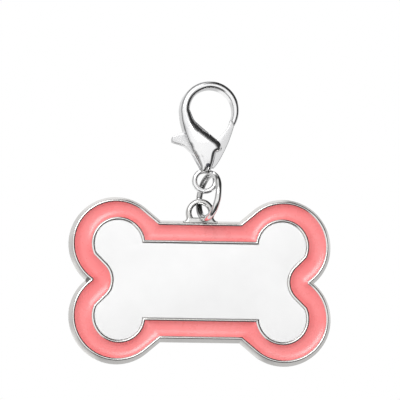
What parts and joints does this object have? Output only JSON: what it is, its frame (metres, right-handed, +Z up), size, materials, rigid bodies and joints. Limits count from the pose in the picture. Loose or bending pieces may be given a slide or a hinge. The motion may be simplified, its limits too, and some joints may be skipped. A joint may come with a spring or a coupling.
{
  "type": "pet id tag",
  "caption": "Bone shaped metal tag with a soft enamel border and a blank inset plate, hung by a jump ring from a lobster clasp with a sprung thumb lever.",
  "frame": {"origin": "inside top of the clasp's hook, where a collar ring sits", "axes": "+Z up, +X to the right as seen from the front, +Y towards the back; the enamelled face looks towards -Y"},
  "size_m": [0.0499, 0.0094, 0.054],
  "materials": {
    "tag_metal": "polished plating over a zinc casting",
    "enamel": "glossy soft enamel",
    "plate": "flat white coat on a thin plate",
    "film": "clear adhesive film",
    "ring_wire": "plated steel wire",
    "clasp_metal": "polished plating over a zinc casting",
    "lever_metal": "plated, a little duller than the body",
    "rivet_metal": "plain steel",
    "spring_wire": "spring steel"
  },
  "bodies": {
    "clasp": {"clasp_body": "clasp_metal", "lever_rivet": "rivet_metal", "lever_spring": "spring_wire"},
    "lever": {"clasp_lever": "lever_metal"},
    "ring": {"jump_ring": "ring_wire"},
    "tag": {"tag_casting": "tag_metal", "enamel_inlay": "enamel", "name_plate": "plate", "adhesive_film": "film"}
  },
  "joints": [
    {"name": "lever_hinge", "type": "hinge", "parent": "clasp", "child": "lever", "pos_m": [-0.00056, 0, -0.01471], "axis": [0, -1, 0], "range_deg": [0, 22], "stiffness_Nm_per_rad": 0.003, "springref_deg": -20.05, "deforming": ["lever_spring"]},
    {"name": "ring_swing", "type": "hinge", "parent": "clasp", "child": "ring", "pos_m": [-0.00074, 0, -0.01716], "axis": [1, 0, 0], "range_deg": [0, 55]},
    {"name": "tag_swing", "type": "hinge", "parent": "ring", "child": "tag", "pos_m": [-0.00164, 0, -0.02409], "axis": [0, 1, 0], "range_deg": [-40, 40]}
  ]
}
